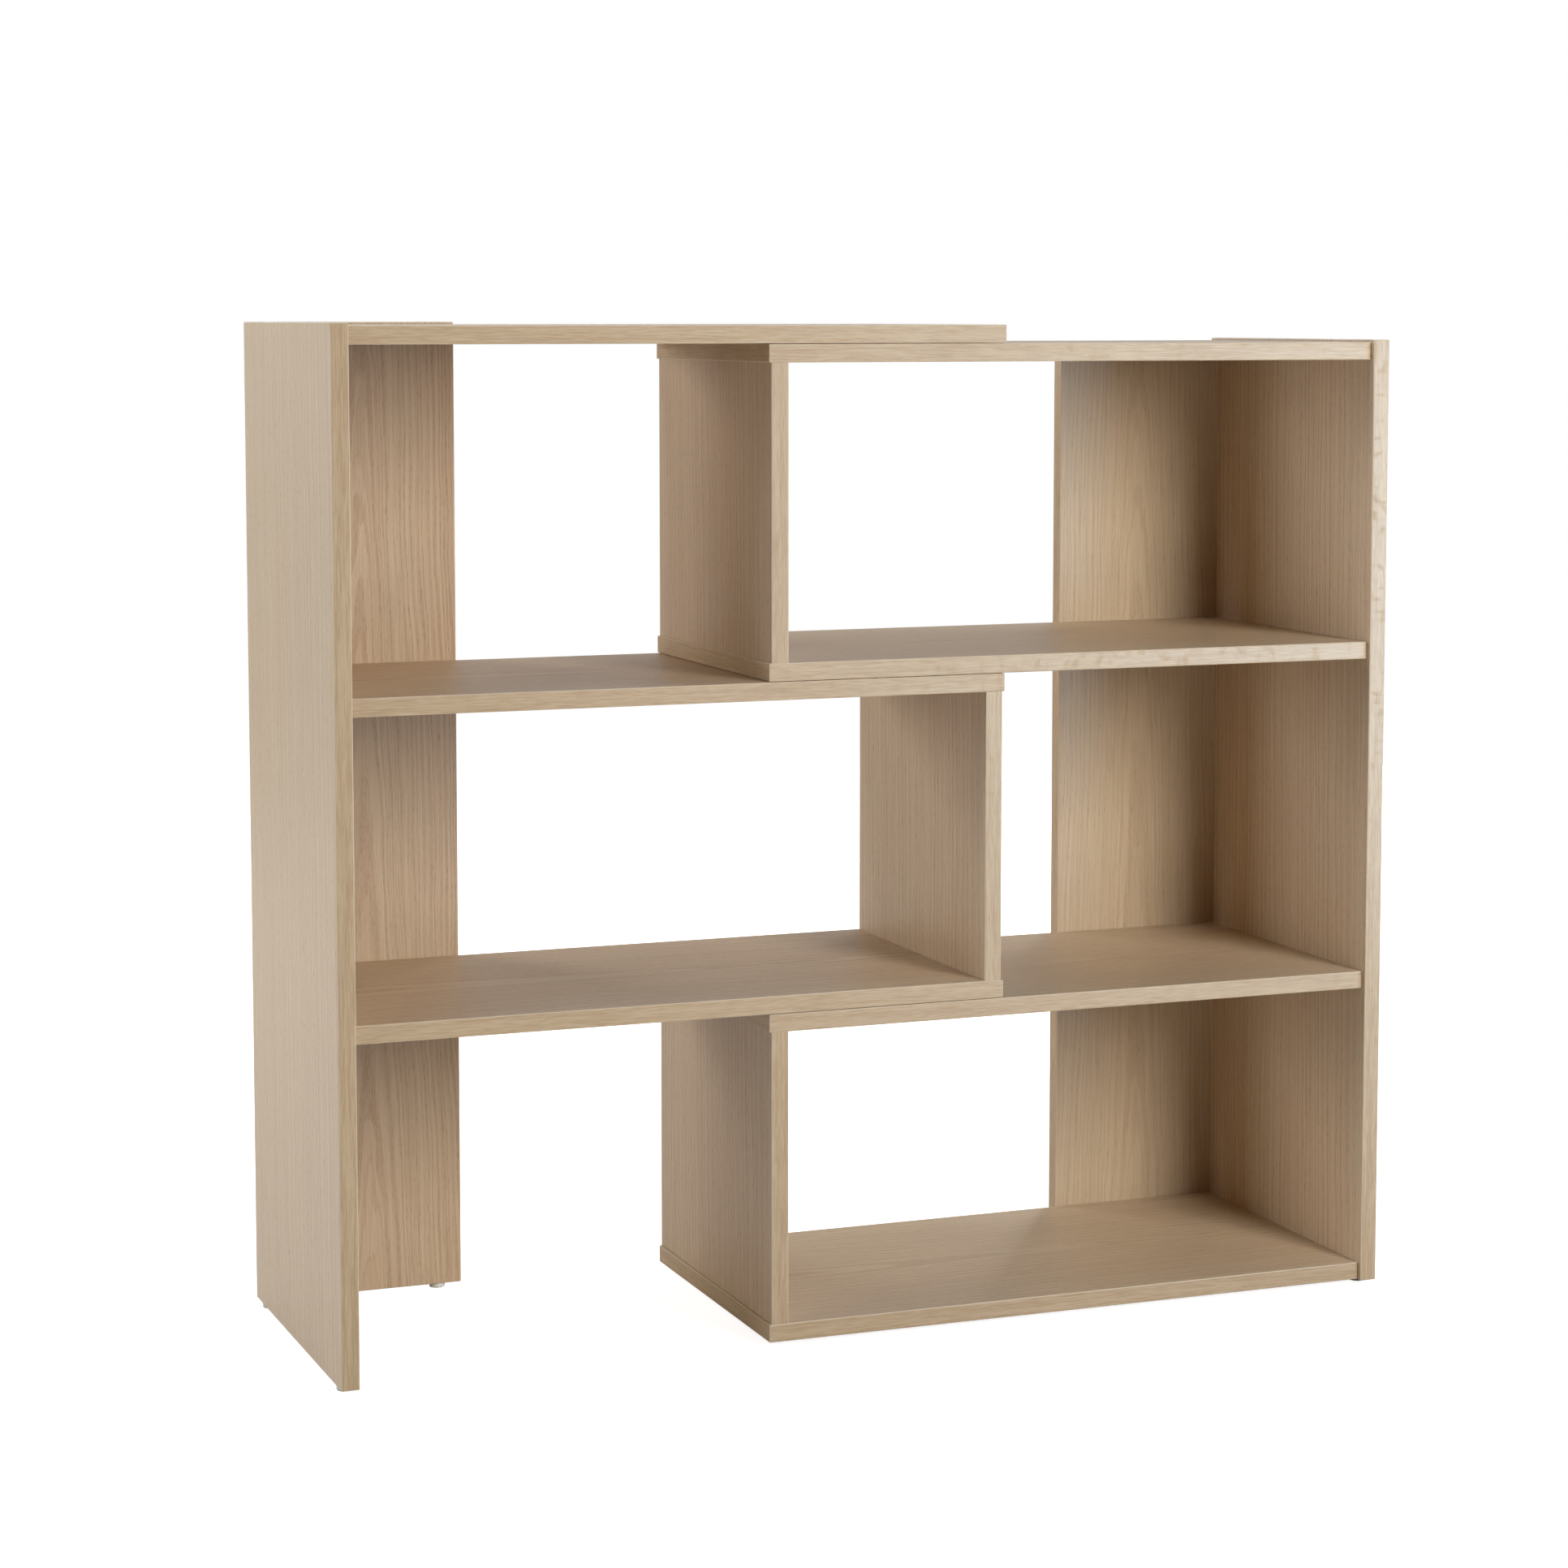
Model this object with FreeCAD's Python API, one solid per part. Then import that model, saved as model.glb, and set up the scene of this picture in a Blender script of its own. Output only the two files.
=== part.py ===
import FreeCAD, Part
import os

# An extending bookcase: two open shelf units of edged board, whose shelves nest and slide
# past each other. X runs along the width, the front faces -Y and +Z is up. The origin is on
# the floor, under the middle of the bookcase as it is extended here. Sizes are millimetres.

Vector = FreeCAD.Vector

# Boards
open_width = 932.0
left_height = 840.0
panel_depth = 298.0
board = 15.0
left_shelf_length = 558.0
right_shelf_length = 554.0
left_strip_width = 164.0
right_strip_width = 162.0
left_middle_level = 548.6
left_lower_level = 290.4
shelf_setback = 5.0
panel_lip = 2.2
bottom_rise = 0.5
strip_drop = 0.5
end_overhang = 2.0
upper_end_overhang = 2.2
divider_setback = 0.5
arris_radius = 1.0

# Clearances
running_gap = 0.4
rear_gap = 0.4
snug = 0.1
overrun = 1.0

# Foot glides and their nails
glide_radius = 7.0
glide_top_radius = 6.6
glide_height = 4.0
glide_edge_radius = 0.8
glide_inset = 20.0
shelf_glide_end_inset = 30.0
shelf_glide_edge_inset = 40.0
nail_radius = 1.0
nail_length = 16.0
nail_head_radius = 2.2
nail_head_height = 0.8
nail_head_sink = 0.5

# Cam fittings, from the board's end to the cam's centre and from its long edges to the axis
cam_radius = 7.5
cam_cover = 3.0
cam_recess = 0.3
cam_reach = 24.0
cam_edge_inset = 37.0
key_length = 7.0
key_width = 1.4
key_depth = 2.0
bolt_thread_radius = 2.5
bolt_cover = 4.0
bolt_collar_radius = 3.5
bolt_collar_length = 1.5
bolt_shank_radius = 2.0
bolt_head_radius = 3.0
bolt_head_length = 4.0
bolt_bore_radius = 4.0

# Dowels
dowel_radius = 4.0
dowel_length = 30.0
dowel_chamfer = 1.0
dowel_cover = 5.0
dowel_pitch = 32.0
dowel_end_gap = 0.5
strip_dowel_shares = (0.16, 0.5, 0.84)

# Countersunk screws
screw_radius = 2.0
screw_length = 45.0
screw_tip_length = 4.0
screw_head_radius = 4.0
screw_head_depth = 2.4
strip_screw_inset = 40.0
divider_screw_inset = 60.0

# Places along the width and the depth
left_outer = -open_width / 2
left_inner = left_outer + board
left_end = left_inner + left_shelf_length
right_outer = open_width / 2
right_inner = right_outer - board
right_end = right_inner - right_shelf_length
panel_front = -panel_depth / 2
panel_rear = panel_depth / 2
strip_front = panel_rear - board
shelf_front = panel_front + shelf_setback
shelf_rear = strip_front - rear_gap

# Levels: top faces of the shelves and tops of the panels
panel_bottom = glide_height
left_panel_top = panel_bottom + left_height
left_top = left_panel_top - panel_lip
left_middle = panel_bottom + left_middle_level
left_lower = panel_bottom + left_lower_level
right_top = left_top - board - running_gap
right_upper = left_middle + running_gap + board
right_lower = left_lower - board - running_gap
right_bottom = panel_bottom + bottom_rise + board
right_panel_top = right_top + panel_lip

# Lines that the fittings are set out on
cam_lines = (shelf_front + cam_edge_inset, shelf_rear - cam_edge_inset)
dowel_lines = (cam_lines[0] + dowel_pitch, cam_lines[1] - dowel_pitch)
divider_lines = (shelf_front + divider_screw_inset, shelf_rear - divider_screw_inset)
strip_line = (strip_front + panel_rear) / 2

up = Vector(0, 0, 1)
down = Vector(0, 0, -1)
forward = Vector(0, -1, 0)

boards = {}
bores = {}
fittings = {}


def box(low, high):
    size = high - low
    return Part.makeBox(size.x, size.y, size.z, low)


def add_board(name, low, high, butts=()):
    """Board with eased arrises, left square at the end faces that butt: (axis, place) pairs."""
    solid = box(low, high)
    square = [
        edge.hashCode()
        for edge in solid.Edges
        for axis, place in butts
        if all(abs(vertex.Point[axis] - place) < snug for vertex in edge.Vertexes)
    ]
    eased = [edge for edge in solid.Edges if edge.hashCode() not in square]
    boards[name] = solid.makeFillet(arris_radius, eased)
    bores[name] = []


def drill(name, radius, start, direction, length):
    bores[name].append(Part.makeCylinder(radius, length, start, direction))


def fit(group, solid):
    fittings.setdefault(group, []).append(solid)


def turned(profile, start, direction):
    """Solid turned about direction, from start: (radius, station) pairs round half its section."""
    points = [Vector(radius, 0, station) for radius, station in profile]
    outline = Part.makePolygon(points + points[:1])
    solid = Part.Face(outline).revolve(Vector(), up, 360)
    solid.Placement = FreeCAD.Placement(start, FreeCAD.Rotation(up, direction))
    return solid


def cam_bolt(start, direction):
    """Threaded end below the panel's face, then collar, shank and head in the shelf."""
    head_end = cam_reach + bolt_head_length / 2
    head_start = head_end - bolt_head_length
    thread_length = board - bolt_cover
    profile = (
        (0, -thread_length),
        (bolt_thread_radius, -thread_length),
        (bolt_thread_radius, 0),
        (bolt_collar_radius, 0),
        (bolt_collar_radius, bolt_collar_length),
        (bolt_shank_radius, bolt_collar_length),
        (bolt_shank_radius, head_start),
        (bolt_head_radius, head_start),
        (bolt_head_radius, head_end),
        (0, head_end),
    )
    return turned(profile, start, direction)


def cam_lock(axis_point, inward):
    """Drum with a pocket for the bolt's head, a neck slot towards the panel and a cross key."""
    underside = axis_point.z - board / 2
    radius = cam_radius - snug
    centre = Vector(axis_point.x, axis_point.y, underside + cam_recess)
    drum = Part.makeCylinder(radius, board - cam_cover - cam_recess, centre, up)
    head = Vector(bolt_head_length / 2, bolt_head_radius, bolt_head_radius)
    head += Vector(snug, snug, snug)
    pocket = box(axis_point - head, axis_point + head)
    neck_half = bolt_shank_radius + snug
    neck = Part.makeBox(cam_radius, 2 * neck_half, board - cam_cover)
    neck.translate(Vector(0, -neck_half, 0))
    neck.rotate(Vector(), up, 180 if inward.x > 0 else 0)
    neck.translate(Vector(axis_point.x, axis_point.y, axis_point.z - neck_half))
    tools = [pocket, neck]
    for half_x, half_y in ((key_length / 2, key_width / 2), (key_width / 2, key_length / 2)):
        low = centre - Vector(half_x, half_y, overrun)
        tools.append(box(low, centre + Vector(half_x, half_y, key_depth)))
    return drum.cut(tools)


def screw(start, direction):
    profile = (
        (0, 0),
        (screw_head_radius, 0),
        (screw_radius, screw_head_depth),
        (screw_radius, screw_length - screw_tip_length),
        (0, screw_length),
    )
    return turned(profile, start, direction)


def join_end(unit, panel, shelf, wall, inward, top):
    """Cam bolts with their locks, and dowels, between a panel's inner face and a shelf's end."""
    level = top - board / 2
    for line in cam_lines:
        start = Vector(wall, line, level)
        centre = start + inward * cam_reach
        fit(unit + "_cam_bolts", cam_bolt(start, inward))
        fit(unit + "_cam_locks", cam_lock(centre, inward))
        drill(panel, bolt_thread_radius + snug, start, -inward, board - bolt_cover + snug)
        drill(shelf, bolt_bore_radius, start, inward, cam_reach)
        mouth = Vector(centre.x, centre.y, top - board - overrun)
        drill(shelf, cam_radius, mouth, up, board - cam_cover + overrun)
    for line in dowel_lines:
        add_dowel(unit, panel, shelf, Vector(wall, line, level), inward)


def add_dowel(unit, panel, other, start, inward):
    """Dowel with chamfered ends, across the joint between a panel's face and another board's end."""
    in_panel = board - dowel_cover
    end_radius = dowel_radius - dowel_chamfer
    profile = (
        (0, 0),
        (end_radius, 0),
        (dowel_radius, dowel_chamfer),
        (dowel_radius, dowel_length - dowel_chamfer),
        (end_radius, dowel_length),
        (0, dowel_length),
    )
    fit(unit + "_dowels", turned(profile, start - inward * in_panel, inward))
    drill(panel, dowel_radius + snug, start, -inward, in_panel + dowel_end_gap)
    drill(other, dowel_radius + snug, start, inward, dowel_length - in_panel + dowel_end_gap)


def add_screw(group, first, second, start, direction):
    """Screw whose head is flush in the first board and whose point is in the second one."""
    fit(group, screw(start, direction))
    seat = (
        (0, -overrun),
        (screw_head_radius + snug, -overrun),
        (screw_head_radius + snug, 0),
        (screw_radius + snug, screw_head_depth),
        (screw_radius + snug, screw_length + snug),
        (0, screw_length + snug),
    )
    bore = turned(seat, start, direction)
    bores[first].append(bore)
    bores[second].append(bore)


def add_glide(unit, name, x, y, height):
    """Round foot with a nail, the head sunk in its underside, driven into the board above."""
    foot = Vector(x, y, 0)
    body = Part.makeCone(glide_radius, glide_top_radius, height, foot)
    rim = min(body.Edges, key=lambda edge: edge.BoundBox.ZMax)
    body = body.makeFillet(glide_edge_radius, [rim])
    head_start = nail_head_sink
    head_end = head_start + nail_head_height
    seat = Part.makeCylinder(nail_head_radius + snug, head_end + overrun, foot - up * overrun)
    shank_hole = Part.makeCylinder(nail_radius + snug, height + overrun, foot)
    fit(unit + "_foot_glides", body.cut([seat, shank_hole]))
    profile = (
        (0, head_start),
        (nail_head_radius, head_start),
        (nail_head_radius, head_end),
        (nail_radius, head_end),
        (nail_radius, nail_length),
        (0, nail_length),
    )
    fit(unit + "_glide_nails", turned(profile, foot, up))
    drill(name, nail_radius + snug, foot, up, nail_length + snug)


def add_unit(unit, wall, inward, panel_top, strip_width, strip_top, shelves):
    """Side panel, back strip and shelves of one unit, with the fittings that join them."""
    panel = unit + "_side_panel"
    strip = unit + "_back_strip"
    outer = wall - inward.x * board
    strip_end = wall + inward.x * strip_width
    panel_low = Vector(min(wall, outer), panel_front, panel_bottom)
    panel_high = Vector(max(wall, outer), panel_rear, panel_top)
    add_board(panel, panel_low, panel_high)
    strip_low = Vector(min(wall, strip_end), strip_front, panel_bottom)
    strip_high = Vector(max(wall, strip_end), panel_rear, strip_top)
    add_board(strip, strip_low, strip_high, [(0, wall)])
    for share in strip_dowel_shares:
        level = panel_bottom + (strip_top - panel_bottom) * share
        add_dowel(unit, panel, strip, Vector(wall, strip_line, level), inward)
    for place, (top, free_end) in shelves.items():
        shelf = f"{unit}_{place}_shelf"
        shelf_low = Vector(min(wall, free_end), shelf_front, top - board)
        shelf_high = Vector(max(wall, free_end), shelf_rear, top)
        add_board(shelf, shelf_low, shelf_high, [(0, wall)])
        join_end(unit, panel, shelf, wall, inward, top)
        for inset in (strip_screw_inset, strip_width - strip_screw_inset):
            start = Vector(wall + inward.x * inset, panel_rear, top - board / 2)
            add_screw(unit + "_strip_screws", strip, shelf, start, forward)
    middle = (wall + outer) / 2
    add_glide(unit, panel, middle, panel_front + glide_inset, glide_height)
    add_glide(unit, panel, middle, panel_rear - glide_inset, glide_height)
    add_glide(unit, strip, strip_end - inward.x * glide_inset, strip_line, glide_height)


def add_divider(unit, name, upper, upper_top, lower, lower_top, free_end, overhang, inward):
    """Upright just inside the free ends of two shelves, screwed through both of them."""
    face = free_end - inward.x * overhang
    back = face - inward.x * board
    high_level = upper_top - board
    low = Vector(min(face, back), shelf_front + divider_setback, lower_top)
    high = Vector(max(face, back), shelf_rear, high_level)
    add_board(name, low, high, [(2, lower_top), (2, high_level)])
    middle = (face + back) / 2
    for line in divider_lines:
        add_screw(unit + "_divider_screws", upper, name, Vector(middle, line, upper_top), down)
        add_screw(unit + "_divider_screws", lower, name, Vector(middle, line, lower_top - board), up)


# Left unit
rightward = Vector(1, 0, 0)
left_shelves = {
    "top": (left_top, left_end),
    "middle": (left_middle, left_end),
    "lower": (left_lower, left_end),
}
add_unit("left", left_inner, rightward, left_panel_top, left_strip_width, left_panel_top, left_shelves)
add_divider(
    "left", "left_divider", "left_middle_shelf", left_middle, "left_lower_shelf", left_lower,
    left_end, end_overhang, rightward,
)

# Right unit
leftward = Vector(-1, 0, 0)
right_shelves = {
    "top": (right_top, right_end),
    "upper": (right_upper, right_end),
    "lower": (right_lower, right_end),
    "bottom": (right_bottom, right_end),
}
right_strip_top = right_top - strip_drop
add_unit("right", right_inner, leftward, right_panel_top, right_strip_width, right_strip_top, right_shelves)
add_divider(
    "right", "right_upper_divider", "right_top_shelf", right_top, "right_upper_shelf", right_upper,
    right_end, upper_end_overhang, leftward,
)
add_divider(
    "right", "right_lower_divider", "right_lower_shelf", right_lower, "right_bottom_shelf", right_bottom,
    right_end, end_overhang, leftward,
)
for glide_line in (shelf_front + shelf_glide_edge_inset, shelf_rear - shelf_glide_edge_inset):
    glide_place = right_end + shelf_glide_end_inset
    add_glide("right", "right_bottom_shelf", glide_place, glide_line, right_bottom - board)

# Files
os.makedirs("parts", exist_ok=True)
for name, solid in boards.items():
    solid.cut(bores[name]).exportStep(f"parts/{name}.step")
for group, solids in fittings.items():
    Part.makeCompound(solids).exportStep(f"parts/{group}.step")
print(len(boards), "boards and", len(fittings), "groups of fittings")
print("closing travel", right_inner - left_end, "mm, overlap", left_end - right_end, "mm")
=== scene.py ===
# %% [markdown]
# An extending bookcase. Two open shelf units of oak-effect board nest into each other: every
# shelf of the left unit lies just over or under a shelf of the right one, and the two slide apart
# to make the bookcase wider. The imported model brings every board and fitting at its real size, as one
# object per piece, with its place in its mesh. Blender adds what the model can't hold: the oak
# foil, the metals and plastics, the light and the camera. Everything is in metres, X along the
# width, the front towards -Y and Z up.

# %% Load the bookcase
import math

import bpy
import numpy as np
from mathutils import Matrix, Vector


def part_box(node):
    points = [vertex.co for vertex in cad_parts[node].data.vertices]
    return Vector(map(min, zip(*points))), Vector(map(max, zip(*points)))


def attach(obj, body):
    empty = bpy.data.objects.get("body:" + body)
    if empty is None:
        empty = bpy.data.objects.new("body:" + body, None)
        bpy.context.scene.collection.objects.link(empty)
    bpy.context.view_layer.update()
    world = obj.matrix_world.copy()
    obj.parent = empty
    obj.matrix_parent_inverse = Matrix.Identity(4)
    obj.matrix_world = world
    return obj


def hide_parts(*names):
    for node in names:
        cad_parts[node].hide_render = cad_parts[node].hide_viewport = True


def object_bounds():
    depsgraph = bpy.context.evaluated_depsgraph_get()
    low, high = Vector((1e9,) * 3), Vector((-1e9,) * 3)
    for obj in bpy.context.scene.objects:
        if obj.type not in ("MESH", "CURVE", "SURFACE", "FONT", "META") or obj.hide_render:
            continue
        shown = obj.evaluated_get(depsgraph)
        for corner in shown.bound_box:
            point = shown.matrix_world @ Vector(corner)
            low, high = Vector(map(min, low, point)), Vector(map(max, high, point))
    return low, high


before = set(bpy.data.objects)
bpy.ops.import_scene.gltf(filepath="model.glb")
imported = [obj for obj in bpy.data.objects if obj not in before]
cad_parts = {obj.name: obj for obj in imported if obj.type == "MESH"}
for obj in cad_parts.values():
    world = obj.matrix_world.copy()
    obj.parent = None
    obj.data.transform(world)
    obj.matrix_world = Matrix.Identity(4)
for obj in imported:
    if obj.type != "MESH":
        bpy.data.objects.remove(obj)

solid_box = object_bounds()
scene = bpy.context.scene
print(len(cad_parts), "pieces in", [tuple(round(v, 3) for v in corner) for corner in solid_box])

# %% [markdown]
# The camera stands at the height of the top shelf and to the left, about three metres away. A
# level camera would put the bookcase low in the frame, and tilting it far down would make the
# uprights lean. So it looks down by little more than five degrees, and the rest is done as in a
# view camera, by sliding the film until the lens axis meets the picture above its middle, which is
# what shift_y stands for.

# %% Camera
frame_pixels = 1932
focal_pixels = 4454.1
sensor_mm = 36.0
camera_place = (-1.1430, -2.8715, 0.8490)
camera_turn = math.radians(-21.104)
camera_dip = math.radians(5.271)
axis_row = 800.0

camera_data = bpy.data.cameras.new("camera")
camera_data.sensor_width = sensor_mm
camera_data.lens = focal_pixels / frame_pixels * sensor_mm
camera_data.shift_y = (axis_row - frame_pixels / 2) / frame_pixels
camera = bpy.data.objects.new("camera", camera_data)
camera.location = camera_place
camera.rotation_euler = (math.pi / 2 - camera_dip, 0, camera_turn)
scene.collection.objects.link(camera)
scene.camera = camera
scene.view_settings.view_transform = "Standard"
print("lens", round(camera_data.lens, 2), "mm, shift", round(camera_data.shift_y, 4))

# %% [markdown]
# Materials are small networks of nodes. A few helpers keep the recipes readable: one adds a node,
# one feeds a socket with a link or a plain value, and the others stand for a sum on paper, a range
# and a mixture. The Mix node has a pair of sockets for every kind of value, told apart by number.

# %% Helpers for nodes
mix_numbers, mixed_number = (2, 3), 0
mix_colours, mixed_colour = (6, 7), 2


def add_node(tree, kind, **settings):
    """Adds a shader node of that kind and sets the named properties on it."""
    node = tree.nodes.new("ShaderNode" + kind)
    for key, value in settings.items():
        setattr(node, key, value)
    return node


def feed(tree, socket, value):
    """Links another node's output to the socket, or sets a plain value on it."""
    if isinstance(value, bpy.types.NodeSocket):
        tree.links.new(value, socket)
    else:
        socket.default_value = value


def calc(tree, operation, *values):
    """One Math node over sockets or plain numbers."""
    node = add_node(tree, "Math", operation=operation)
    for socket, value in zip(node.inputs, values):
        feed(tree, socket, value)
    return node.outputs[0]


def spread(tree, value, low, high, to_low=0.0, to_high=1.0):
    """Stretches a value from the range low..high to to_low..to_high, eased at both ends."""
    node = add_node(tree, "MapRange", interpolation_type="SMOOTHSTEP")
    for socket, number in zip(node.inputs, (value, low, high, to_low, to_high)):
        feed(tree, socket, number)
    return node.outputs[0]


def mix(tree, share, first, second, kind="MIX"):
    """Colour between first and second, or first times second, by a share from 0 to 1."""
    node = add_node(tree, "Mix", data_type="RGBA", blend_type=kind)
    feed(tree, node.inputs["Factor"], share)
    for number, value in zip(mix_colours, (first, second)):
        feed(tree, node.inputs[number], value)
    return node.outputs[mixed_colour]


# %% [markdown]
# A surface starts from one Principled node, which serves foil, metal and plastic alike. Places come
# in millimetres, the unit in which grain is thought of. Relief of a tenth of a millimetre is too
# fine for a mesh, so it goes into the normals.

# %% Helpers for surfaces
mm_per_metre = 1000.0
relief_depth = 0.0001
print("relief of", relief_depth * mm_per_metre, "mm")


def new_material(name, **surface):
    """A material with one Principled surface, whose plain values are set on its own sockets."""
    material = bpy.data.materials.new(name)
    material.use_nodes = True
    tree = material.node_tree
    shader = tree.nodes["Principled BSDF"]
    for socket, value in surface.items():
        shader.inputs[socket.replace("_", " ")].default_value = value
    return material, tree, shader


def millimetre_place(tree):
    """Object coordinates in millimetres as three sockets, and the node that they come from."""
    coordinates = add_node(tree, "TexCoord")
    millimetres = add_node(tree, "VectorMath", operation="SCALE")
    tree.links.new(coordinates.outputs["Object"], millimetres.inputs[0])
    millimetres.inputs["Scale"].default_value = mm_per_metre
    split = add_node(tree, "SeparateXYZ")
    tree.links.new(millimetres.outputs[0], split.inputs[0])
    return tuple(split.outputs), coordinates


def add_relief(tree, shader, height, strength):
    """Lets the surface's normals follow a height, so that fine relief shows in its shine."""
    bump = add_node(tree, "Bump")
    bump.inputs["Strength"].default_value = strength
    bump.inputs["Distance"].default_value = relief_depth
    tree.links.new(height, bump.inputs["Height"])
    tree.links.new(bump.outputs[0], shader.inputs["Normal"])


# %% [markdown]
# The boards are particle board under a printed oak foil with a satin lacquer. The growth lines of
# the print run nearly straight on some boards and close into long arches on others. One formula
# draws both, so every board can have lines of its own. The lines, and all other layers of the
# print, are noise that is drawn out along the grain. A blotch is the length and width of its spots
# in millimetres on the board, so the grain keeps its scale on every piece.

# %% Oak foil: growth lines
sway_blotch, sway = (260.0, 80.0), 16.0
tremble_blotch, tremble = (55.0, 9.0), 2.4
line_detail, line_roughness = 3.0, 0.62
print("growth lines sway by", sway, "mm and tremble by", tremble, "mm")


def grain_noise(tree, place, length, width, detail=2.0):
    """Noise drawn out along the grain: one blotch is about length by width millimetres."""
    along, across, depth = place
    vector = add_node(tree, "CombineXYZ")
    feed(tree, vector.inputs[0], calc(tree, "DIVIDE", along, length))
    feed(tree, vector.inputs[1], calc(tree, "DIVIDE", across, width))
    feed(tree, vector.inputs[2], depth)
    texture = add_node(tree, "TexNoise", noise_dimensions="3D")
    tree.links.new(vector.outputs[0], texture.inputs["Vector"])
    texture.inputs["Scale"].default_value = 1.0
    texture.inputs["Detail"].default_value = detail
    return texture.outputs["Fac"]


def growth_lines(tree, place, heart, arch, slope, pitch):
    """Growth lines: 1D noise over a ring distance, sqrt(off_heart^2 + arch^2) + along / slope.

    Far from the heart line that distance grows evenly, which gives straight lines. Near it the
    curves of equal distance are long arches that all point the same way, as on a flat-sawn plank."""
    along, across, _ = place
    bend = calc(tree, "MULTIPLY_ADD", grain_noise(tree, place, *sway_blotch), sway, -sway / 2)
    shake = calc(tree, "MULTIPLY_ADD", grain_noise(tree, place, *tremble_blotch), tremble, -tremble / 2)
    off_heart = calc(tree, "ADD", calc(tree, "SUBTRACT", across, heart), bend)
    squared = calc(tree, "MULTIPLY_ADD", off_heart, off_heart, arch * arch)
    ring = calc(tree, "MULTIPLY_ADD", along, 1.0 / slope, calc(tree, "SQRT", squared))
    ring = calc(tree, "ADD", ring, shake)
    texture = add_node(tree, "TexNoise", noise_dimensions="1D")
    feed(tree, texture.inputs["W"], calc(tree, "DIVIDE", ring, pitch))
    texture.inputs["Scale"].default_value = 1.0
    texture.inputs["Detail"].default_value = line_detail
    texture.inputs["Roughness"].default_value = line_roughness
    return texture.outputs["Fac"]


# %% [markdown]
# The eye reads four layers of the print together: broad warm and cool zones, the growth lines, fine
# fibres, and short dark pores, which are strongest on the lines. Zones and lines choose the colour.
# Lines, fibres and pores then shade it by multiplying, as inks do on paper, so that none of them
# hides another. A range is the stretch of a noise that is used.

# %% Oak foil: the print on the broad faces
late_range = (0.43, 0.59)
zone_blotch, zone_range = (420.0, 24.0), (0.33, 0.67)
fibre_blotch, fibre_range = (45.0, 0.9), (0.30, 0.70)
pore_blotch, pore_range = (7.0, 0.7), (0.55, 0.68)
late_warmth, zone_warmth = 0.55, 0.45
late_dark, early_pale, pore_dark = 1.5, 0.6, 2.2
fibre_pale, fibre_dark = 1.07, 0.92
pores_in_early_wood = 0.3
fibre_height = 0.5
shade_powers = (0.85, 1.0, 1.2)
oak_cool = (0.555, 0.425, 0.280, 1.0)
oak_warm = (0.545, 0.385, 0.252, 1.0)
print("printed oak from", oak_cool[:3], "to", oak_warm[:3])


def oak_print(tree, place, heart, arch, slope, pitch, contrast, warm=0.0):
    """Colour of the printed face, and the height of its fibres and pores.

    The shade is the product of lines, fibres and pores, and its powers make dark wood redder."""
    late = spread(tree, growth_lines(tree, place, heart, arch, slope, pitch), *late_range)
    zones = spread(tree, grain_noise(tree, place, *zone_blotch, detail=3.0), *zone_range)
    fibres = grain_noise(tree, place, *fibre_blotch, detail=3.0)
    pores = spread(tree, grain_noise(tree, place, *pore_blotch, detail=1.0), *pore_range)
    frequent = calc(tree, "MULTIPLY_ADD", late, 1.0 - pores_in_early_wood, pores_in_early_wood)
    pores = calc(tree, "MULTIPLY", pores, frequent)
    drift = calc(tree, "MULTIPLY_ADD", zones, zone_warmth, warm)
    warmth = calc(tree, "MULTIPLY_ADD", late, late_warmth, drift)
    lines = calc(tree, "MULTIPLY_ADD", late, -late_dark * contrast, 1.0 + early_pale * contrast)
    threads = spread(tree, fibres, *fibre_range, fibre_pale, fibre_dark)
    pits = calc(tree, "MULTIPLY_ADD", pores, -pore_dark * contrast, 1.0)
    shade = calc(tree, "MULTIPLY", calc(tree, "MULTIPLY", lines, threads), pits)
    tint = add_node(tree, "CombineColor")
    for socket, power in zip(tint.inputs, shade_powers):
        feed(tree, socket, calc(tree, "POWER", shade, power))
    height = calc(tree, "SUBTRACT", calc(tree, "MULTIPLY", fibres, fibre_height), pores)
    colour = mix(tree, warmth, oak_cool, oak_warm)
    return mix(tree, 1.0, colour, tint.outputs[0], "MULTIPLY"), height


# %% [markdown]
# The narrow faces carry a band of the same foil, cut across another part of the print: finer,
# straighter and a little darker, with its grain along the band. The rounded arris between a face
# and a band is painted paler along every board: partly for the band's paler trimmed core, and
# partly as a painted highlight where the edge catches the light. Its lacquer is rougher, which dulls
# its shine.

# %% Oak foil: edge bands and arrises
wave_blotch, wave = (18.0, 5.0), 1.4
fine_blotch, fine_share = (16.0, 0.45), 0.5
broad_blotch, broad_share = (40.0, 1.2), 0.3
drift_blotch, drift_share = (150.0, 5.0), 0.2
band_range = (0.40, 0.60)
band_pale = (0.540, 0.405, 0.255, 1.0)
band_tan = (0.433, 0.295, 0.167, 1.0)
# Pale arris colour: partly the band's trimmed core, partly a painted highlight
arris_pale_and_highlight = (0.640, 0.520, 0.375, 1.0)
print("edge bands from", band_pale[:3], "to", band_tan[:3])


def oak_band(tree, place):
    """Colour of the edge band: wavy streaks along it, some broad and some fine, over a slow drift."""
    along, across, depth = place
    swung = calc(tree, "MULTIPLY_ADD", grain_noise(tree, place, *wave_blotch), wave, across)
    wavy = (along, swung, depth)
    fine = grain_noise(tree, wavy, *fine_blotch)
    broad = grain_noise(tree, wavy, *broad_blotch)
    drift = grain_noise(tree, place, *drift_blotch, detail=1.0)
    share = calc(tree, "MULTIPLY_ADD", broad, broad_share, calc(tree, "MULTIPLY", fine, fine_share))
    share = calc(tree, "MULTIPLY_ADD", drift, drift_share, share)
    return mix(tree, spread(tree, share, *band_range), band_pale, band_tan)


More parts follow.
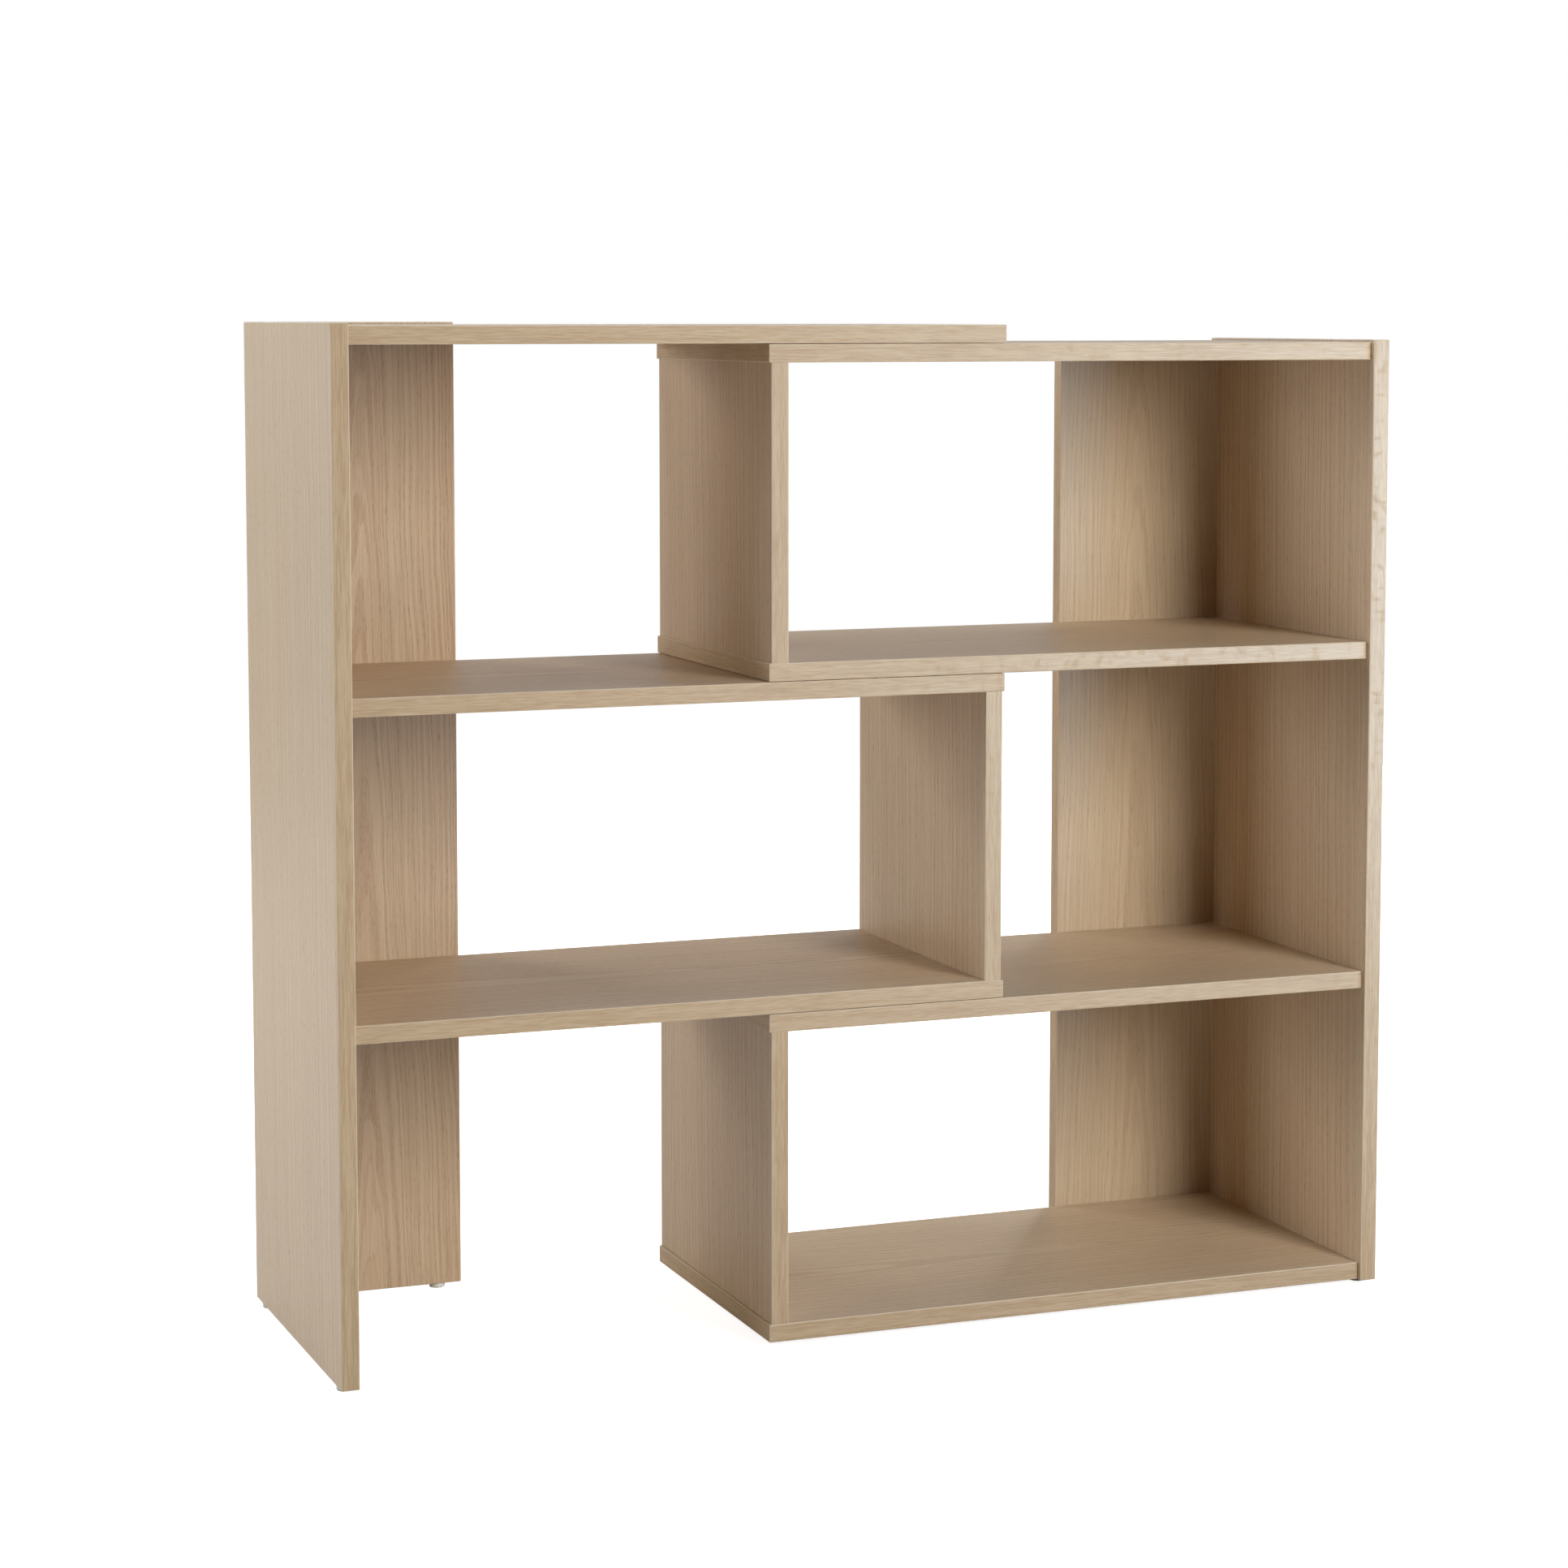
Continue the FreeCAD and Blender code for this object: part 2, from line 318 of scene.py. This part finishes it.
# %% [markdown]
# One material per board chooses between print and band by the way the surface faces. A face that
# looks along the board's thickness has the print, all others have the band, and wherever the
# normal leaves all three axes it is an arris.

# %% Oak foil: one board
half_way = math.sqrt(0.5)
flat_from, arris_from = 0.985, 0.90
faces_apart = 0.1
height_range = (-0.6, 0.5)
pore_roughness, satin_roughness = 0.52, 0.38
arris_dulling = 0.3
oak_relief = 0.25
print("lacquer roughness from", satin_roughness, "to", pore_roughness, "in the pores")


def oak_board(name, axes, seed, figure):
    """Oak foil for one board: axes are the numbers of its grain, width and thickness axes."""
    material, tree, shader = new_material(name)
    place, coordinates = millimetre_place(tree)
    along, across, through = (place[axis] for axis in axes)
    normal = add_node(tree, "SeparateXYZ")
    tree.links.new(coordinates.outputs["Normal"], normal.inputs[0])
    facing = [calc(tree, "ABSOLUTE", normal.outputs[axis]) for axis in axes]
    on_face = calc(tree, "GREATER_THAN", facing[2], half_way)
    on_end = calc(tree, "GREATER_THAN", facing[0], half_way)
    depth = calc(tree, "MULTIPLY_ADD", through, faces_apart, seed)
    face_colour, height = oak_print(tree, (along, across, depth), **figure)
    run = add_node(tree, "Mix", data_type="FLOAT")
    feed(tree, run.inputs["Factor"], on_end)
    for number, value in zip(mix_numbers, (along, across)):
        feed(tree, run.inputs[number], value)
    band_colour = oak_band(tree, (run.outputs[mixed_number], through, seed))
    colour = mix(tree, on_face, band_colour, face_colour)
    squareness = calc(tree, "MAXIMUM", calc(tree, "MAXIMUM", facing[0], facing[1]), facing[2])
    arris = spread(tree, squareness, flat_from, arris_from)
    # Painted highlight: the arris is mixed towards a pale colour, partly the band's paler core and
    # partly the shine of light on the rounded edge
    tree.links.new(mix(tree, arris, colour, arris_pale_and_highlight), shader.inputs["Base Color"])
    satin = spread(tree, height, *height_range, pore_roughness, satin_roughness)
    feed(tree, shader.inputs["Roughness"], calc(tree, "MULTIPLY_ADD", arris, arris_dulling, satin))
    add_relief(tree, shader, height, oak_relief)
    return material


# %% [markdown]
# Each board gets its own cut of the print. Uprights have the grain standing, shelves have it along
# the width. Side panels and dividers are rift-sawn, with the heart of the log far off to one side,
# and back strips and shelves are flat-sawn, with arches that run along the middle. The left side
# panel, the right back strip and three of the right shelves are set cooler, and mostly fainter too.
# The coolness is partly the foil's own drift in tone along its roll, and partly painted light for
# the cool light and sheen that fall on these boards.

# %% Dress the boards
grain_axes = {"panel": (2, 1, 0), "strip": (2, 0, 1), "divider": (2, 1, 0), "shelf": (0, 1, 2)}
straight = {"arch": 20.0, "slope": 60.0, "pitch": 2.8, "contrast": 0.115}
arched = {"arch": 30.0, "slope": 45.0, "pitch": 2.5, "contrast": 0.090}
lying = {"arch": 25.0, "slope": 50.0, "pitch": 3.6, "contrast": 0.115}
cuts = {"panel": straight, "strip": arched, "divider": straight, "shelf": lying}
rift_heart = 400.0
seed_step = 7.3
# Partly painted light: these boards are made cooler for the cool light and sheen on them, as well as
# for the foil's own drift in tone
cooler_tone_and_light = {"warm": -0.4, "contrast": 0.085}
board_tone_and_light = {"left_side_panel": {"warm": -0.15}, "right_back_strip": {"warm": -0.8, "contrast": 0.065},
         "right_upper_shelf": cooler_tone_and_light, "right_lower_shelf": cooler_tone_and_light, "right_bottom_shelf": cooler_tone_and_light}

board_names = [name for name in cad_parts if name.split("_")[-1] in grain_axes]
for number, name in enumerate(sorted(board_names)):
    kind = name.split("_")[-1]
    low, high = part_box(name)
    across = grain_axes[kind][1]
    middle = (low[across] + high[across]) / 2 * mm_per_metre
    heart = rift_heart if cuts[kind] is straight else middle
    figure = {"heart": heart, **cuts[kind], **board_tone_and_light.get(name, {})}
    oak = oak_board("oak_" + name, grain_axes[kind], seed_step * (number + 1), figure)
    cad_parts[name].material_slots[0].material = oak
print(len(board_names), "boards dressed in oak foil")

# %% [markdown]
# The fittings are hidden in the joints, apart from the screw heads, the cam locks' faces and the
# foot glides. The model has them as plain turned solids, several to a node, so the first job is to
# find where each one stands. Points that share a place or an edge belong to one solid, and the box
# of a solid gives its axis.

# %% Where the fittings stand
weld_digits = 6


def solids_of(name):
    """Points of each separate solid in a node.

    Points at one place are welded, and each weld has its own number. Both ends of every edge take
    the lower of their two numbers, over and over, until each solid has a single number left."""
    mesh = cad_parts[name].data
    points = np.empty(len(mesh.vertices) * 3)
    mesh.vertices.foreach_get("co", points)
    points, weld = np.unique(points.reshape(-1, 3).round(weld_digits), axis=0, return_inverse=True)
    ends = np.empty(len(mesh.edges) * 2, dtype=np.int32)
    mesh.edges.foreach_get("vertices", ends)
    first, second = weld.reshape(-1)[ends].reshape(-1, 2).T
    number = np.arange(len(points))
    before = None
    while not np.array_equal(number, before):
        before = number.copy()
        lower = np.minimum(number[first], number[second])
        np.minimum.at(number, first, lower)
        np.minimum.at(number, second, lower)
        number = number[number]
    return [points[number == one] for one in np.unique(number)]


def stance(points):
    """Near end, axes as matrix columns, length and widest radius of a turned solid.

    The axis is the longest side of its box, and it starts at the end nearest the widest ring."""
    low, high = points.min(axis=0), points.max(axis=0)
    axis = int(np.argmax(high - low))
    centre = (low + high) / 2
    across = (points - centre) * (np.arange(3) != axis)
    widest = np.argmax(np.linalg.norm(across, axis=1))
    length = high[axis] - low[axis]
    forward = np.zeros(3)
    forward[axis] = -np.sign(points[widest, axis] - centre[axis])
    sideways = np.roll(np.abs(forward), 1)
    axes = np.stack([sideways, np.cross(forward, sideways), forward], axis=1)
    return centre - forward * length / 2, axes, length, np.linalg.norm(across[widest])


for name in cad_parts:
    if name not in board_names:
        print(name, "has", len(solids_of(name)), "solids")

# %% [markdown]
# Every fastener is a surface of revolution that something modulates: a helix for a thread, a
# cross for the driver, grooves for glue. Such a surface is a grid of rings along the axis. One
# array holds it, and copies of the grid, turned and moved, make a whole group in one mesh.

# %% Turned surfaces
sharp_angle = math.radians(38)


def angles(columns):
    """Angles of the points round a ring."""
    return np.linspace(0, 2 * np.pi, columns, endpoint=False)


def rings(radii, stations, columns):
    """Grid of points (r cos v, r sin v, s): ring by ring along the axis, and round it by angle v."""
    turn = angles(columns)
    radii, stations, turn = np.broadcast_arrays(radii, stations, turn)
    return np.stack([radii * np.cos(turn), radii * np.sin(turn), stations], axis=-1)


def thread(stations, core, crest, pitch, columns):
    """Radius of a thread: a core plus a ridge that climbs one pitch for every turn.

    The ridge is the square of a raised cosine wave of station / pitch - angle / turn."""
    ridge = (0.5 + 0.5 * np.cos(2 * np.pi * stations / pitch - angles(columns))) ** 2
    return core + (crest - core) * ridge


def turned_group(node, shape, columns, finish):
    """Replaces a node of turned solids by one mesh, with a copy of shape(length, radius) for each.

    Each ring joins the next one with quads, and a flat face closes each end of a copy."""
    stances = [stance(points) for points in solids_of(node)]
    starts, axes = (np.stack(part) for part in list(zip(*stances))[:2])
    grid = shape(*stances[0][2:])
    points = np.einsum("kij,rcj->krci", axes, grid) + starts[:, None, None, :]
    rows = len(grid)
    index = np.arange(len(stances) * rows * columns).reshape(len(stances), rows, columns)
    after = np.roll(index, -1, axis=2)
    quads = np.stack([index[:, :-1], after[:, :-1], after[:, 1:], index[:, 1:]], axis=-1)
    quads = quads.reshape(-1, 4)
    ends = np.concatenate([index[:, 0, ::-1], index[:, -1]])
    mesh = bpy.data.meshes.new(node + "_turned")
    mesh.from_pydata(points.reshape(-1, 3), [], quads.tolist() + ends.tolist())
    mesh.shade_smooth()
    mesh.set_sharp_from_angle(angle=sharp_angle)
    mesh.materials.append(finish)
    piece = bpy.data.objects.new(node + "_turned", mesh)
    scene.collection.objects.link(piece)
    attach(piece, node.split("_")[0] + "_unit")
    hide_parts(node)
    print(piece.name, len(stances), "copies,", len(quads), "quads")


# %% [markdown]
# Zinc plating is a thin bright coat with a faint cloudy tint. Die-cast zinc is duller and slightly
# grained. The glides are a soft milky plastic that lets a little light in. One recipe serves all
# three, because each is a plain surface that is never quite even.

# %% Metals and plastic
cloud_range = (0.3, 0.7)
relief_finer = 6


def clouds(tree, millimetres):
    """Noise in blotches of that size, the same in every direction."""
    coordinates = add_node(tree, "TexCoord")
    texture = add_node(tree, "TexNoise", noise_dimensions="3D")
    tree.links.new(coordinates.outputs["Object"], texture.inputs["Vector"])
    texture.inputs["Scale"].default_value = mm_per_metre / millimetres
    return texture.outputs["Fac"]


def mottled(name, dark, light, blotch, smooth, rough, relief, **surface):
    """A plain finish: colour and roughness drift with the same blotches, and its relief is finer."""
    material, tree, shader = new_material(name, **surface)
    cloud = clouds(tree, blotch)
    colour = mix(tree, spread(tree, cloud, *cloud_range), dark, light)
    tree.links.new(colour, shader.inputs["Base Color"])
    feed(tree, shader.inputs["Roughness"], spread(tree, cloud, *cloud_range, rough, smooth))
    add_relief(tree, shader, clouds(tree, blotch / relief_finer), relief)
    return material


zinc = mottled("zinc_plate", dark=(0.50, 0.51, 0.52, 1.0), light=(0.66, 0.66, 0.63, 1.0),
               blotch=2.5, smooth=0.24, rough=0.42, relief=0.1, Metallic=1.0)
cast = mottled("die_cast_zinc", dark=(0.40, 0.40, 0.41, 1.0), light=(0.55, 0.55, 0.56, 1.0),
               blotch=1.6, smooth=0.42, rough=0.60, relief=0.5, Metallic=1.0)
milky = mottled("milky_plastic", dark=(0.66, 0.64, 0.61, 1.0), light=(0.78, 0.77, 0.74, 1.0),
                blotch=5.0, smooth=0.36, rough=0.50, relief=0.15,
                Subsurface_Weight=0.4, Subsurface_Scale=0.003)
plain_finishes = {"cam_locks": cast, "glide_nails": zinc, "foot_glides": milky}
for name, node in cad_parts.items():
    kind = name.split("_", 1)[1]
    if kind in plain_finishes:
        node.material_slots[0].material = plain_finishes[kind]
print("finishes:", zinc.name, cast.name, milky.name)

# %% [markdown]
# The dowels are turned from plain beech, which is pale, with fine fibres and short darker flecks.
# All of them lie along X, so one material with its grain along X does for the lot.

# %% Beech
beech_fibre_blotch = (14.0, 0.5)
fleck_blotch, fleck_range, fleck_share = (2.2, 0.35), (0.62, 0.72), 0.7
beech_pale = (0.72, 0.54, 0.35, 1.0)
beech_tan = (0.62, 0.44, 0.27, 1.0)
fleck_brown = (0.42, 0.26, 0.14, 1.0)
beech_roughness = 0.6
beech_relief = 0.3

beech, beech_tree, beech_shader = new_material("dowel_beech", Roughness=beech_roughness)
place, _ = millimetre_place(beech_tree)
fibres = spread(beech_tree, grain_noise(beech_tree, place, *beech_fibre_blotch), *cloud_range)
rays = grain_noise(beech_tree, place, *fleck_blotch, detail=0.0)
flecks = spread(beech_tree, rays, *fleck_range, 0.0, fleck_share)
wood = mix(beech_tree, fibres, beech_pale, beech_tan)
feed(beech_tree, beech_shader.inputs["Base Color"], mix(beech_tree, flecks, wood, fleck_brown))
add_relief(beech_tree, beech_shader, fibres, beech_relief)
print(beech.name, "from", beech_pale[:3], "to", beech_tan[:3])

# %% [markdown]
# Chipboard screws have a deep thread on a thin core right up to a countersunk head, and a cross
# recess that gets shallower along its arms. The whole screw is one grid: the first rings spread
# over the head's face, and the rest run down to the point.

# %% Screws
rings_per_turn = 8
screw_columns = 32
screw_pitch = 0.0022
screw_core = 0.0013
screw_crest = 0.0020
screw_head_depth = 0.0024
screw_tip = 0.0040
recess_arm = 0.0024
recess_half_width = 0.0004
recess_depth = 0.0017
face_rings = 14
innermost = 0.03
blunt_tip = 0.02


def screw_shape(length, head_radius):
    """Head face with its recess, then the countersink and the thread, which tapers to the point.

    The recess is a dip in the face. It is full within the half width of the nearer cross arm,
    slopes out over as much again, and gets shallower as the root of the distance left to the
    arm's end."""
    turn = angles(screw_columns)
    face = np.linspace(innermost, 1.0, face_rings)[:, None] * head_radius
    off_arm = face * np.minimum(np.abs(np.cos(turn)), np.abs(np.sin(turn)))
    inside = np.clip((2 * recess_half_width - off_arm) / recess_half_width, 0, 1)
    dip = recess_depth * np.sqrt(np.clip(1 - face / recess_arm, 0, 1)) * inside
    stations = np.arange(screw_head_depth, length, screw_pitch / rings_per_turn)[:, None]
    taper = np.clip((length - stations) / screw_tip, blunt_tip, 1)
    body = taper * thread(stations, screw_core, screw_crest, screw_pitch, screw_columns)
    body[0] = screw_core
    head_grid = rings(face, dip, screw_columns)
    return np.concatenate([head_grid, rings(body, stations, screw_columns)])


screw_sizes = stance(solids_of("left_strip_screws")[0])[2:]
print("a screw has", len(screw_shape(*screw_sizes)), "rings")

# %% [markdown]
# Cam bolts have a short coarse thread for the panel, a collar that stops it at the face, and a
# shank with a round head for the cam to grip. After the thread, two rings for each step are enough.

# %% Cam bolts
bolt_columns = 32
bolt_pitch = 0.0018
bolt_thread_length = 0.0110
bolt_thread_core = 0.0019
bolt_thread_crest = 0.0025
bolt_collar = 0.0015
bolt_shank_radius = 0.0020
bolt_head_radius = 0.0030
bolt_head_length = 0.0040


def bolt_shape(length, collar_radius):
    """Thread, collar, shank and head, one after another along the axis."""
    stations = np.arange(0, bolt_thread_length, bolt_pitch / rings_per_turn)[:, None]
    ridges = thread(stations, bolt_thread_core, bolt_thread_crest, bolt_pitch, bolt_columns)
    screwed = rings(ridges, stations, bolt_columns)
    collar_end = bolt_thread_length + bolt_collar
    head_start = length - bolt_head_length
    radii = np.repeat([bolt_thread_core, collar_radius, bolt_shank_radius, bolt_head_radius], 2)
    steps = np.array([bolt_thread_length, collar_end, head_start])
    run_out = bolt_pitch / (2 * rings_per_turn)
    stations = np.concatenate([steps[:1] - run_out, np.repeat(steps, 2), [length]])
    return np.concatenate([screwed, rings(radii[:, None], stations[:, None], bolt_columns)])


bolt_sizes = stance(solids_of("left_cam_bolts")[0])[2:]
print("a cam bolt has", len(bolt_shape(*bolt_sizes)), "rings")

# %% [markdown]
# Dowels are fluted, so that glue can get past them, and chamfered to start in the hole. They are the
# last of the fasteners, so all the groups are made here. Each takes the place of its node's plain
# solids, on the unit that carries it.

# %% Dowels, and all the fasteners
dowel_flutes = 20
points_per_flute = 6
dowel_columns = points_per_flute * dowel_flutes
dowel_chamfer = 0.0010
flute_depth = 0.00025


def dowel_shape(length, radius):
    """Chamfer, fluted body and chamfer: the flutes are a cosine wave in the body's radius."""
    flutes = radius - flute_depth * (0.5 + 0.5 * np.cos(dowel_flutes * angles(dowel_columns)))
    end = np.full(dowel_columns, radius - dowel_chamfer)
    stations = np.array([0, dowel_chamfer, length - dowel_chamfer, length])[:, None]
    return rings(np.stack([end, flutes, flutes, end]), stations, dowel_columns)


for unit in ("left", "right"):
    turned_group(unit + "_strip_screws", screw_shape, screw_columns, zinc)
    turned_group(unit + "_divider_screws", screw_shape, screw_columns, zinc)
    turned_group(unit + "_cam_bolts", bolt_shape, bolt_columns, zinc)
    turned_group(unit + "_dowels", dowel_shape, dowel_columns, beech)

# %% [markdown]
# The scene is a plain pale studio. The floor is a wide sheet that glows white to the camera, with its
# glow dimmed near the bookcase as painted shade, in which a faint real shadow shows, and going over
# into pure white farther off.
# The sheet is slightly warm, and so is the light that it throws back up. From below it is clear,
# so that the underside can be looked at.

# %% Floor
floor_half = 6.0
floor_colour = (0.66, 0.63, 0.58, 1.0)
glow_in_painted_shade, painted_shade_within, bright_beyond = 0.85, 0.4, 1.6
floor_mesh = bpy.data.meshes.new("floor")
corners = [(-floor_half, -floor_half, 0), (floor_half, -floor_half, 0),
           (floor_half, floor_half, 0), (-floor_half, floor_half, 0)]
floor_mesh.from_pydata(corners, [], [(0, 1, 2, 3)])
floor = bpy.data.objects.new("floor", floor_mesh)
scene.collection.objects.link(floor)
floor_material, floor_tree, floor_shader = new_material(
    "pale_floor", Base_Color=floor_colour, Roughness=0.9, Specular_IOR_Level=0.0,
    Emission_Color=(1.0, 1.0, 1.0, 1.0))
floor_path = add_node(floor_tree, "LightPath")
floor_place = add_node(floor_tree, "NewGeometry")
distance = add_node(floor_tree, "VectorMath", operation="LENGTH")
floor_tree.links.new(floor_place.outputs["Position"], distance.inputs[0])
# Painted shade: the floor's glow to the camera is dimmed near the bookcase, so that the faint real
# shadow shows there
paper = spread(floor_tree, distance.outputs["Value"], painted_shade_within, bright_beyond, glow_in_painted_shade, 1.0)
seen_paper = calc(floor_tree, "MULTIPLY", floor_path.outputs["Is Camera Ray"], paper)
floor_tree.links.new(seen_paper, floor_shader.inputs["Emission Strength"])
clear = add_node(floor_tree, "BsdfTransparent")
two_sided = add_node(floor_tree, "MixShader")
floor_tree.links.new(floor_place.outputs["Backfacing"], two_sided.inputs[0])
floor_tree.links.new(floor_shader.outputs[0], two_sided.inputs[1])
floor_tree.links.new(clear.outputs[0], two_sided.inputs[2])
floor_tree.links.new(two_sided.outputs[0], floor_tree.nodes["Material Output"].inputs["Surface"])
floor_mesh.materials.append(floor_material)
print("floor of", 2 * floor_half, "m")

# %% [markdown]
# The air is white to the camera too, and dim as a light, because the boards mirror the room and
# that room was darker than paper.

# %% Air
air_as_light = 0.012
world = bpy.data.worlds.new("studio")
world.use_nodes = True
scene.world = world
air = world.node_tree.nodes["Background"]
air_path = add_node(world.node_tree, "LightPath")
air.inputs["Color"].default_value = (1.0, 1.0, 1.0, 1.0)
seen = air_path.outputs["Is Camera Ray"]
strength = spread(world.node_tree, seen, 0.0, 1.0, air_as_light, 1.0)
world.node_tree.links.new(strength, air.inputs["Strength"])
print("air lights by", air_as_light)

# %% [markdown]
# A studio lights furniture with large soft boxes. The key stands to the right of the camera and
# looks in under the shelves, and the right side panel keeps the corner behind it in the shade. A
# polariser takes the glare off the key, so the sheen on the front edges comes from a cool, low
# reflector farther right, which is why they get paler from left to right. A strip above draws the
# pale line along the arrises, and a ceiling light fills the tops. At the left, blue daylight comes
# down from a window, and two boxes rake the side panel and the dividers. The boxes behind light
# the rear and give the shelves their soft shine.

# %% Soft boxes
white = (1.0, 1.0, 1.0)
cool = (0.66, 0.86, 1.0)
sky = (0.60, 0.75, 1.0)


def soft_box(name, place, width, height, watts, tint=white, lights_up=True, shines=True):
    """A rectangular light that faces the middle of the bookcase and doesn't show to the camera.

    It can light surfaces up, show as a shine on them, or do both."""
    data = bpy.data.lights.new(name, "AREA")
    data.shape = "RECTANGLE"
    data.size = width
    data.size_y = height
    data.energy = watts
    data.color = tint
    light = bpy.data.objects.new(name, data)
    light.location = place
    aim = (solid_box[0] + solid_box[1]) / 2 - light.location
    light.rotation_euler = aim.to_track_quat("-Z", "Y").to_euler()
    light.visible_camera = False
    light.visible_diffuse = lights_up
    light.visible_glossy = shines
    scene.collection.objects.link(light)


soft_box("key", (1.0, -3.0, 1.55), 0.8, 1.6, 88.0, shines=False)
soft_box("reflector", (2.2, -2.65, 0.45), 1.8, 0.9, 103.0, tint=cool, lights_up=False)
soft_box("above", (0.5, -0.7, 2.4), 1.4, 0.6, 45.0, lights_up=False)
soft_box("ceiling", (0.0, 0.4, 2.5), 1.4, 0.8, 9.0, shines=False)
soft_box("window", (-1.6, 0.0, 2.1), 0.9, 0.9, 27.0, tint=sky, shines=False)
soft_box("left_side", (-2.7, -0.4, 0.45), 1.1, 0.9, 9.0)
soft_box("left_rear", (-2.7, 2.0, 0.9), 1.1, 1.8, 25.0)
soft_box("back_left", (-1.8, 2.6, 1.3), 1.1, 1.2, 37.0, shines=False)
soft_box("back", (1.0, 2.7, 1.7), 2.2, 0.9, 8.0)
soft_box("right_rear", (2.7, 2.7, 0.6), 1.2, 1.2, 90.0)
print("soft boxes:", ", ".join(lamp.name for lamp in bpy.data.lights))
